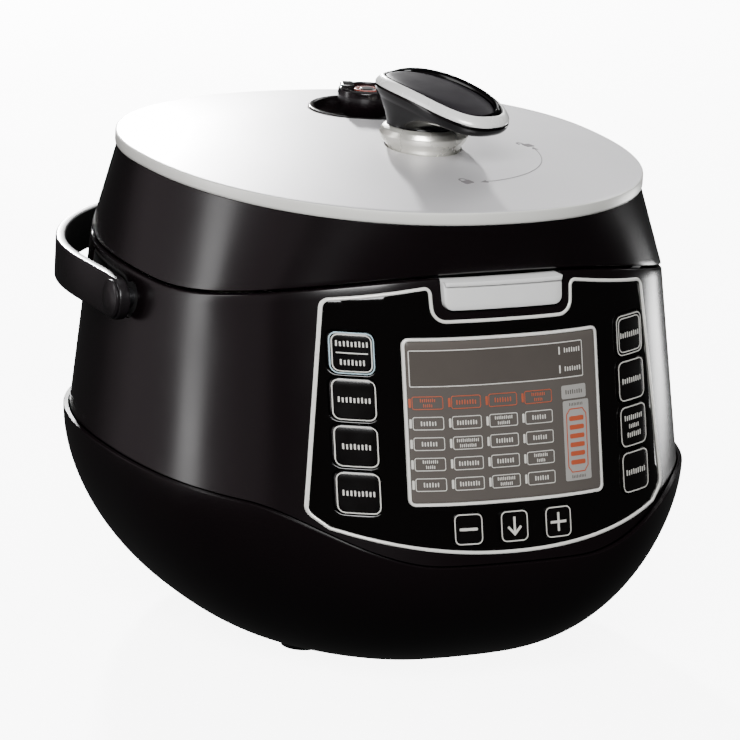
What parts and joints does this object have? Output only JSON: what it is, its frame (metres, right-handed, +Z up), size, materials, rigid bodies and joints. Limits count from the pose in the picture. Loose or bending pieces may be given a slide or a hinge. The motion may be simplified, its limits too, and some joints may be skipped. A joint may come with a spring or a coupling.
{
  "type": "electric pressure cooker",
  "caption": "Black electric pressure cooker with a control panel, domed silver lid, turning lock lever, steam valve and a folding carry handle.",
  "frame": {"origin": "on the floor under the middle of the whole cooker", "axes": "+Z up, the control panel faces -Y, +X is to the right as seen from the front"},
  "size_m": [0.3412, 0.3896, 0.3243],
  "materials": {
    "black_gloss": "gloss",
    "black_matte": "matte",
    "charcoal_satin": "satin",
    "silver_paint": "satin",
    "satin_silver": "satin",
    "chrome_trim": "polished",
    "grey_lens": "gloss",
    "steel": "brushed",
    "aluminium": "satin",
    "black_rubber": "matte",
    "pale_silicone": "matte",
    "circuit_green": "satin",
    "orange_ring": "gloss"
  },
  "bodies": {
    "housing": {"upper_housing": "black_gloss", "lower_shell": "black_gloss", "foot_1": "black_rubber", "foot_2": "black_rubber", "foot_3": "black_rubber", "foot_4": "black_rubber", "rim_collar": "black_matte", "bail_pocket_left": "black_matte", "bail_pocket_right": "black_matte", "bail_pin_left": "steel", "bail_pin_right": "steel", "control_fascia": "black_gloss", "fascia_trim": "chrome_trim", "display_frame": "chrome_trim", "display_lens": "grey_lens", "control_board": "circuit_green", "power_inlet": "black_matte", "cup_bay": "black_matte", "power_module": "circuit_green", "pressure_shell": "steel", "locking_flange": "steel", "heating_plate": "aluminium", "inner_pot": "aluminium", "hinge_housing": "black_gloss", "hinge_pin": "steel"},
    "lid": {"lid_skirt": "black_gloss", "lid_cover": "silver_paint", "valve_well": "black_gloss", "lid_liner": "black_matte", "pressure_lid": "steel", "lid_seal": "pale_silicone", "anti_block_cap": "steel"},
    "knob": {"knob_collar": "satin_silver", "knob_body": "black_gloss", "knob_trim": "chrome_trim", "knob_inset": "charcoal_satin", "knob_shaft": "steel"},
    "ring": {"locking_ring": "steel"},
    "valve": {"valve_cap": "black_gloss", "valve_ring": "orange_ring", "valve_plug": "black_matte"},
    "float": {"float_pin": "steel"},
    "release": {"release_button": "satin_silver", "latch_bar": "steel"},
    "bail": {"bail_strap": "black_gloss", "bail_cap_left": "black_gloss", "bail_cap_right": "black_gloss"},
    "sensor": {"temperature_sensor": "aluminium"},
    "cup": {"condensate_cup": "black_gloss"},
    "button_left_1": {"button_left_1": "black_gloss"},
    "button_left_2": {"button_left_2": "black_gloss"},
    "button_left_3": {"button_left_3": "black_gloss"},
    "button_left_4": {"button_left_4": "black_gloss"},
    "button_right_1": {"button_right_1": "black_gloss"},
    "button_right_2": {"button_right_2": "black_gloss"},
    "button_right_3": {"button_right_3": "black_gloss"},
    "button_right_4": {"button_right_4": "black_gloss"},
    "button_minus": {"button_minus": "black_gloss"},
    "button_down": {"button_down": "black_gloss"},
    "button_plus": {"button_plus": "black_gloss"}
  },
  "joints": [
    {"name": "lid_hinge", "type": "hinge", "parent": "housing", "child": "lid", "pos_m": [0, 0.15414, 0.238], "axis": [-1, 0, 0], "range_deg": [0, 80]},
    {"name": "knob_turn", "type": "hinge", "parent": "lid", "child": "knob", "pos_m": [0, -0.05086, 0.3], "axis": [0, 0, 1], "range_deg": [-15, 77]},
    {"name": "ring_turn", "type": "hinge", "parent": "lid", "child": "ring", "pos_m": [0, 0.00414, 0.215], "axis": [0, 0, 1], "range_deg": [-3.1, 15.5]},
    {"name": "valve_turn", "type": "hinge", "parent": "lid", "child": "valve", "pos_m": [0.008, 0.04014, 0.29], "axis": [0, 0, 1], "range_deg": [0, 45]},
    {"name": "float_lift", "type": "slide", "parent": "lid", "child": "float", "axis": [0, 0, 1], "range_m": [0, 0.003]},
    {"name": "release_press", "type": "slide", "parent": "housing", "child": "release", "axis": [0, 1, 0], "range_m": [0, 0.003], "stiffness_N_per_m": 900},
    {"name": "bail_swing", "type": "hinge", "parent": "housing", "child": "bail", "pos_m": [0, -0.00786, 0.195], "axis": [1, 0, 0], "range_deg": [0, 95]},
    {"name": "sensor_press", "type": "slide", "parent": "housing", "child": "sensor", "axis": [0, 0, -1], "range_m": [0, 0.002], "stiffness_N_per_m": 1200},
    {"name": "cup_pull", "type": "slide", "parent": "housing", "child": "cup", "axis": [0, 1, 0], "range_m": [0, 0.045]},
    {"name": "button_left_1_press", "type": "slide", "parent": "housing", "child": "button_left_1", "axis": [0.4524, 0.8617, -0.2297], "range_m": [0, 0.001], "stiffness_N_per_m": 1500},
    {"name": "button_left_2_press", "type": "slide", "parent": "housing", "child": "button_left_2", "axis": [0.4488, 0.8636, -0.2297], "range_m": [0, 0.001], "stiffness_N_per_m": 1500},
    {"name": "button_left_3_press", "type": "slide", "parent": "housing", "child": "button_left_3", "axis": [0.4452, 0.8655, -0.2297], "range_m": [0, 0.001], "stiffness_N_per_m": 1500},
    {"name": "button_left_4_press", "type": "slide", "parent": "housing", "child": "button_left_4", "axis": [0.4415, 0.8674, -0.2297], "range_m": [0, 0.001], "stiffness_N_per_m": 1500},
    {"name": "button_right_1_press", "type": "slide", "parent": "housing", "child": "button_right_1", "axis": [-0.4524, 0.8617, -0.2297], "range_m": [0, 0.001], "stiffness_N_per_m": 1500},
    {"name": "button_right_2_press", "type": "slide", "parent": "housing", "child": "button_right_2", "axis": [-0.4488, 0.8636, -0.2297], "range_m": [0, 0.001], "stiffness_N_per_m": 1500},
    {"name": "button_right_3_press", "type": "slide", "parent": "housing", "child": "button_right_3", "axis": [-0.4452, 0.8655, -0.2297], "range_m": [0, 0.001], "stiffness_N_per_m": 1500},
    {"name": "button_right_4_press", "type": "slide", "parent": "housing", "child": "button_right_4", "axis": [-0.4415, 0.8674, -0.2297], "range_m": [0, 0.001], "stiffness_N_per_m": 1500},
    {"name": "button_minus_press", "type": "slide", "parent": "housing", "child": "button_minus", "axis": [0.084, 0.9696, -0.2297], "range_m": [0, 0.001], "stiffness_N_per_m": 1500},
    {"name": "button_down_press", "type": "slide", "parent": "housing", "child": "button_down", "axis": [0, 0.9733, -0.2297], "range_m": [0, 0.001], "stiffness_N_per_m": 1500},
    {"name": "button_plus_press", "type": "slide", "parent": "housing", "child": "button_plus", "axis": [-0.084, 0.9696, -0.2297], "range_m": [0, 0.001], "stiffness_N_per_m": 1500}
  ],
  "couplings": [
    {"joint": "ring_turn", "follows": "knob_turn", "ratio": 0.2}
  ]
}
